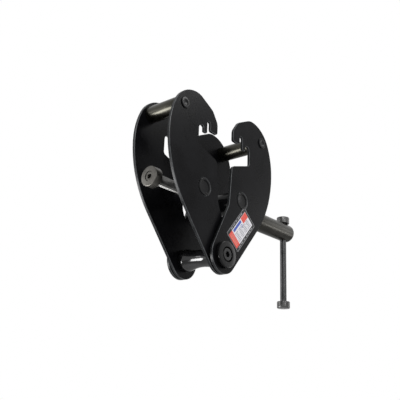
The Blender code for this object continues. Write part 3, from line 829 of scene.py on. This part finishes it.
# ---------------------------------------------------------------- tommy bar and its knobs
# A drawn steel bar that slides in the barrel's cross hole.  A turned knob pressed on each
# end keeps it there, and it hangs by the upper one.

TOMMY_STEEL = new_finish(
    "drawn_bar_steel", light=(0.070, 0.071, 0.072), dark=(0.044, 0.045, 0.046),
    patches=60, roughness=(0.20, 0.28), relief=grain(2400, (1, 1, 0.03)), height=0.000004,
    metallic=0.95)
tommy_half = (tommy_high.z - tommy_low.z) / 2
tommy_end_round = 0.0005
tommy_profile = mirrored([(0, tommy_half, 0), (tommy_radius, tommy_half, tommy_end_round)])
tommy_mesh = turned_mesh(tommy_profile, tommy_centre, (0, 0, 1), steps=64)
add_piece("tommy_bar_steel", tommy_mesh, "tommy", ["tommy_bar"], [TOMMY_STEEL])

KNOB_STEEL = new_finish(
    "turned_knob_steel", light=(0.112, 0.112, 0.111), dark=(0.070, 0.070, 0.069),
    patches=90, roughness=(0.22, 0.32), relief=turning(2600, tommy_centre, (0, 0, 1)),
    height=0.000007, metallic=0.95)
knob_end_round = 0.0014
knob_foot_round = 0.0010
knob_bore = tommy_radius + FIT
knob_bore_depth = 0.0075
for place, outwards in (("upper", 1), ("lower", -1)):
    knob_low, knob_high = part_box(f"tommy_knob_{place}")
    knob_length = knob_high.z - knob_low.z
    knob_radius = (knob_high.x - knob_low.x) / 2
    knob_profile = [
        (0, knob_length, 0),
        (knob_radius, knob_length, knob_end_round),
        (knob_radius, 0, knob_foot_round),
        (knob_bore, 0, 0),
        (knob_bore, knob_bore_depth, 0),
        (0, knob_bore_depth, 0),
    ]
    knob_seat = Vector((tommy_centre.x, 0, knob_low.z if outwards > 0 else knob_high.z))
    add_piece(f"tommy_knob_{place}_steel", turned_mesh(knob_profile, knob_seat, (0, 0, outwards)),
              "tommy", [f"tommy_knob_{place}"], [KNOB_STEEL])


# ---------------------------------------------------------------- data label
# A printed foil label on the front right plate, set along the slope of the jaw.  It is
# kept generic: a plain hairline frame, a blank panel with ruled lines and colour fields.

CORNER_STEPS = 6
INNER_ROUNDING = 0.8            # of the rounding on the outside of a frame


def label_outline(along, across, length, width, rounding):
    """A rectangle with rounded corners about a point of the label, anticlockwise."""
    outline = []
    for quarter, (right, up) in enumerate(((1, 1), (-1, 1), (-1, -1), (1, -1))):
        corner_x = along + right * (length / 2 - rounding)
        corner_y = across + up * (width / 2 - rounding)
        for step in range(CORNER_STEPS + 1):
            angle = math.pi / 2 * (quarter + step / CORNER_STEPS)
            outline.append((corner_x + rounding * math.cos(angle),
                            corner_y + rounding * math.sin(angle)))
    return outline


def add_print(name, finish, rise, along, across, length, width, rounding=0.0002, line=None):
    """A printed field about a point along and across the label; a line makes it a frame."""
    top = rise + ink_thickness
    outer = label_outline(along, across, length, width, rounding)
    loops = [(outer, rise), (outer, top)]
    if line is not None:
        inner = label_outline(along, across, length - 2 * line, width - 2 * line,
                              rounding * INNER_ROUNDING)
        loops += [(inner, top), (inner, rise)]
    shape = bmesh.new()
    rings = [[shape.verts.new((*point, height)) for point in loop] for loop, height in loops]
    pairs = list(zip(rings, rings[1:]))
    if line is None:
        for ring in rings:
            shape.faces.new(ring)
    else:
        pairs.append((rings[-1], rings[0]))
    for lower, upper in pairs:
        for index in range(len(lower)):
            after = (index + 1) % len(lower)
            shape.faces.new((lower[index], lower[after], upper[after], upper[index]))
    bmesh.ops.recalc_face_normals(shape, faces=shape.faces)
    bmesh.ops.transform(shape, matrix=label_place, verts=shape.verts)
    mesh = bpy.data.meshes.new(name)
    shape.to_mesh(mesh)
    shape.free()
    add_piece(name, mesh, "right_jaw", (), [finish])


def build_ruling_tree():
    """A short dash of uneven length about each point of a mesh."""
    tree, given, result = new_tree("ruled_lines", ["Length", "Width", "Thickness"])
    nodes, links = tree.nodes, tree.links
    size = nodes.new('ShaderNodeCombineXYZ')
    for label, axis in (("Length", "X"), ("Width", "Y"), ("Thickness", "Z")):
        links.new(given.outputs[label], size.inputs[axis])
    dash = nodes.new('GeometryNodeMeshCube')
    links.new(size.outputs["Vector"], dash.inputs["Size"])
    uneven = nodes.new('FunctionNodeRandomValue')
    uneven.data_type = 'FLOAT'
    uneven.inputs["Seed"].default_value = 7
    bounds = {"Min": 0.55, "Max": 1.0}
    for socket in uneven.inputs:
        if socket.enabled and socket.name in bounds:
            socket.default_value = bounds[socket.name]
    length = next(socket for socket in uneven.outputs if socket.enabled)
    stretch = nodes.new('ShaderNodeCombineXYZ')
    stretch.inputs["Y"].default_value = 1
    stretch.inputs["Z"].default_value = 1
    links.new(length, stretch.inputs["X"])
    placed = nodes.new('GeometryNodeInstanceOnPoints')
    links.new(given.outputs["Geometry"], placed.inputs["Points"])
    links.new(dash.outputs["Mesh"], placed.inputs["Instance"])
    links.new(stretch.outputs["Vector"], placed.inputs["Scale"])
    end_tree(tree, given, result, placed.outputs["Instances"])
    return tree


def add_ruling(name, finish, rise, dashes, dash_length, dash_width):
    """Printed dashes, each about a point (along, across) of the label."""
    height = rise + ink_thickness / 2
    points = bpy.data.meshes.new(name)
    points.from_pydata([(along, across, height) for along, across in dashes], [], [])
    mesh = made_by(RULED_LINES, points, {
        "Length": dash_length,
        "Width": dash_width,
        "Thickness": ink_thickness,
        "Finish": finish,
    })
    mesh.transform(label_place)
    add_piece(name, mesh, "right_jaw")


def new_print(name, color):
    """The finish of one printing ink, a little uneven."""
    lighter = tuple(value * 1.06 for value in color)
    return new_finish(name, light=lighter, dark=color, patches=60, roughness=(0.28, 0.36),
                      relief=grain(900), height=0.00001, specular=0.2)


LABEL_BLACK = new_print("label_black_foil", (0.007, 0.007, 0.008))
LABEL_SILVER = new_print("label_silver_line", (0.40, 0.40, 0.42))
LABEL_WHITE = new_print("label_white_panel", (0.78, 0.77, 0.81))
LABEL_RED = new_print("label_red_field", (0.78, 0.095, 0.070))
LABEL_PINK = new_print("label_pale_red_rule", (0.82, 0.36, 0.30))
LABEL_BLUE = new_print("label_blue_field", (0.06, 0.11, 0.46))
LABEL_GREY = new_print("label_grey_rule", (0.20, 0.21, 0.24))
RULED_LINES = build_ruling_tree()
ink_thickness = 0.00006
foil_rise = 0.00002
print_rise = 0.0001
top_rise = 0.00018
label_slope = math.radians(50)
label_reach = 0.0337            # from the middle of the clamp
label_height = 0.0411           # above the suspension bar
label_middle = Vector((label_reach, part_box("right_plate_front")[0].y, bar_centre.z + label_height))
label_along = Vector((math.cos(label_slope), 0, math.sin(label_slope)))
label_across = Vector((-math.sin(label_slope), 0, math.cos(label_slope)))
label_axes = Matrix((label_along, label_across, Vector((0, -1, 0)))).transposed().to_4x4()
label_place = Matrix.Translation(label_middle) @ label_axes
label_length = 0.0580
label_width = 0.0325
hairline_inset = 0.0008
panel_length = 0.0420
panel_width = 0.0222
panel_middle = 0.0040
panel_start = panel_middle - panel_length / 2
panel_end = panel_middle + panel_length / 2
block_length = 0.0098
block_middle = panel_start - block_length / 2
add_print("label_foil", LABEL_BLACK, foil_rise, along=0, across=0, length=label_length,
          width=label_width, rounding=0.0025)
add_print("label_hairline", LABEL_SILVER, print_rise, along=0, across=0,
          length=label_length - 2 * hairline_inset, width=label_width - 2 * hairline_inset,
          rounding=0.0020, line=0.0004)
add_print("label_panel", LABEL_WHITE, print_rise, along=panel_middle, across=0,
          length=panel_length, width=panel_width)
add_print("label_end_block", LABEL_RED, print_rise, along=block_middle, across=0,
          length=block_length, width=panel_width)
add_print("label_corner_field", LABEL_RED, top_rise, along=panel_end - 0.0075, across=0.0064,
          length=0.0145, width=0.0086)
add_print("label_long_field", LABEL_BLUE, top_rise, along=panel_start + 0.0135, across=0.0080,
          length=0.0230, width=0.0036)
add_print("label_small_frame", LABEL_BLUE, top_rise, along=panel_end - 0.0200, across=0.0022,
          length=0.0042, width=0.0042, rounding=0.0003, line=0.0007)
panel_rows = 6
panel_columns = 4
first_row_columns = 2           # the small frame takes the place of the others
row_step = 0.0023
column_step = 0.0098
first_row = 0.0030
first_column = panel_start + 0.0055
panel_dashes = []
for row in range(panel_rows):
    for column in range(panel_columns if row else first_row_columns):
        panel_dashes.append((first_column + column_step * column, first_row - row_step * row))
add_ruling("label_panel_rules", LABEL_GREY, top_rise, panel_dashes,
           dash_length=0.0090, dash_width=0.0007)
block_step = 0.0024
block_dashes = [(block_middle + block_step * row, 0) for row in (-1, 0, 1)]
add_ruling("label_block_rules", LABEL_PINK, top_rise, block_dashes,
           dash_length=0.0008, dash_width=0.0170)
foil_step = 0.0076
foil_dashes = []
for start, across, count in ((-0.0190, -0.0132, 6), (-0.0150, 0.0134, 5)):
    foil_dashes += [(start + foil_step * column, across) for column in range(count)]
add_ruling("label_foil_rules", LABEL_SILVER, print_rise, foil_dashes,
           dash_length=0.0074, dash_width=0.0010)


# ---------------------------------------------------------------- stage, light and camera
# The clamp hangs clear of a pale floor in an even white studio, seen from below and from
# its near left.  Seven softboxes round it, the strongest a wide one low at its far left,
# draw the highlights on its bar, tubes, plates and barrel.

floor_reach = 6
floor_drop = 1.0                # below the lowest point of the clamp
floor_height = cad_low.z - floor_drop
corners = [(-floor_reach, -floor_reach), (floor_reach, -floor_reach), (floor_reach, floor_reach),
           (-floor_reach, floor_reach)]
floor_mesh = bpy.data.meshes.new("floor")
floor_mesh.from_pydata([(x, y, floor_height) for x, y in corners], [], [(0, 1, 2, 3)])
floor = bpy.data.objects.new("floor", floor_mesh)
bpy.context.scene.collection.objects.link(floor)
pale = bpy.data.materials.new("pale_floor")
pale.use_nodes = True
pale_shader = pale.node_tree.nodes["Principled BSDF"]
pale_shader.inputs["Base Color"].default_value = (0.82, 0.82, 0.82, 1)
pale_shader.inputs["Roughness"].default_value = 0.9
floor_mesh.materials.append(pale)

world = bpy.data.worlds.new("white_studio")
bpy.context.scene.world = world
world.use_nodes = True
nodes, links = world.node_tree.nodes, world.node_tree.links
sky = nodes["Background"]
sky.inputs["Color"].default_value = (1, 1, 1, 1)
sky.inputs["Strength"].default_value = 0.5
backdrop = nodes.new('ShaderNodeBackground')
backdrop.inputs["Color"].default_value = (1, 1, 1, 1)
backdrop.inputs["Strength"].default_value = 1.0
ray = nodes.new('ShaderNodeLightPath')
seen = ray.outputs["Is Camera Ray"]
for kind in ("Is Glossy Ray", "Is Transmission Ray"):
    either = nodes.new('ShaderNodeMath')
    either.operation = 'MAXIMUM'
    links.new(seen, either.inputs[0])
    links.new(ray.outputs[kind], either.inputs[1])
    seen = either.outputs["Value"]
choice = nodes.new('ShaderNodeMixShader')
links.new(seen, choice.inputs["Fac"])
links.new(sky.outputs["Background"], choice.inputs[1])
links.new(backdrop.outputs["Background"], choice.inputs[2])
links.new(choice.outputs["Shader"], nodes["World Output"].inputs["Surface"])


def add_softbox(name, place, width, height, power):
    """A rectangular area lamp that looks at the middle of the clamp."""
    light = bpy.data.lights.new(name, 'AREA')
    light.shape = 'RECTANGLE'
    light.size = width
    light.size_y = height
    light.energy = power
    lamp = bpy.data.objects.new(name, light)
    bpy.context.scene.collection.objects.link(lamp)
    lamp.location = place
    lamp.rotation_euler = (middle - Vector(place)).to_track_quat('-Z', 'Y').to_euler()


middle = (cad_low + cad_high) / 2
add_softbox("key_softbox", place=(-1.1, -0.9, 0.9), width=0.5, height=0.5, power=8)
add_softbox("side_softbox", place=(-0.85, 0.87, -0.52), width=0.75, height=0.45, power=22)
add_softbox("rear_softbox", place=(-0.85, 0.95, 0.13), width=0.3, height=0.3, power=1.2)
add_softbox("barrel_softbox", place=(0.88, -0.55, -0.24), width=0.3, height=0.16, power=1.1)
add_softbox("strip_softbox", place=(-0.32, -1.25, 0.15), width=0.1, height=0.5, power=1.3)
add_softbox("upper_softbox", place=(0.60, -0.72, 0.70), width=0.3, height=0.3, power=1.8)
add_softbox("right_softbox", place=(1.32, -0.72, 0.22), width=0.35, height=0.4, power=0.9)

camera_data = bpy.data.cameras.new("camera")
camera_data.sensor_width = 36
camera_data.lens = 55.81
camera_data.shift_x = 0.0009
camera_data.shift_y = -0.0030
camera = bpy.data.objects.new("camera", camera_data)
bpy.context.scene.collection.objects.link(camera)
camera_place = (-0.5920, -0.5048, -0.3396)
to_right = Vector((0.6433, -0.7647, 0.0376))
to_down = Vector((0.2704, 0.1810, -0.9456))
to_up = -to_down
to_back = to_right.cross(to_up)
camera_turn = Matrix((to_right, to_up, to_back)).transposed().to_4x4()
camera.matrix_world = Matrix.Translation(camera_place) @ camera_turn
bpy.context.scene.camera = camera
bpy.context.scene.view_settings.view_transform = 'Standard'
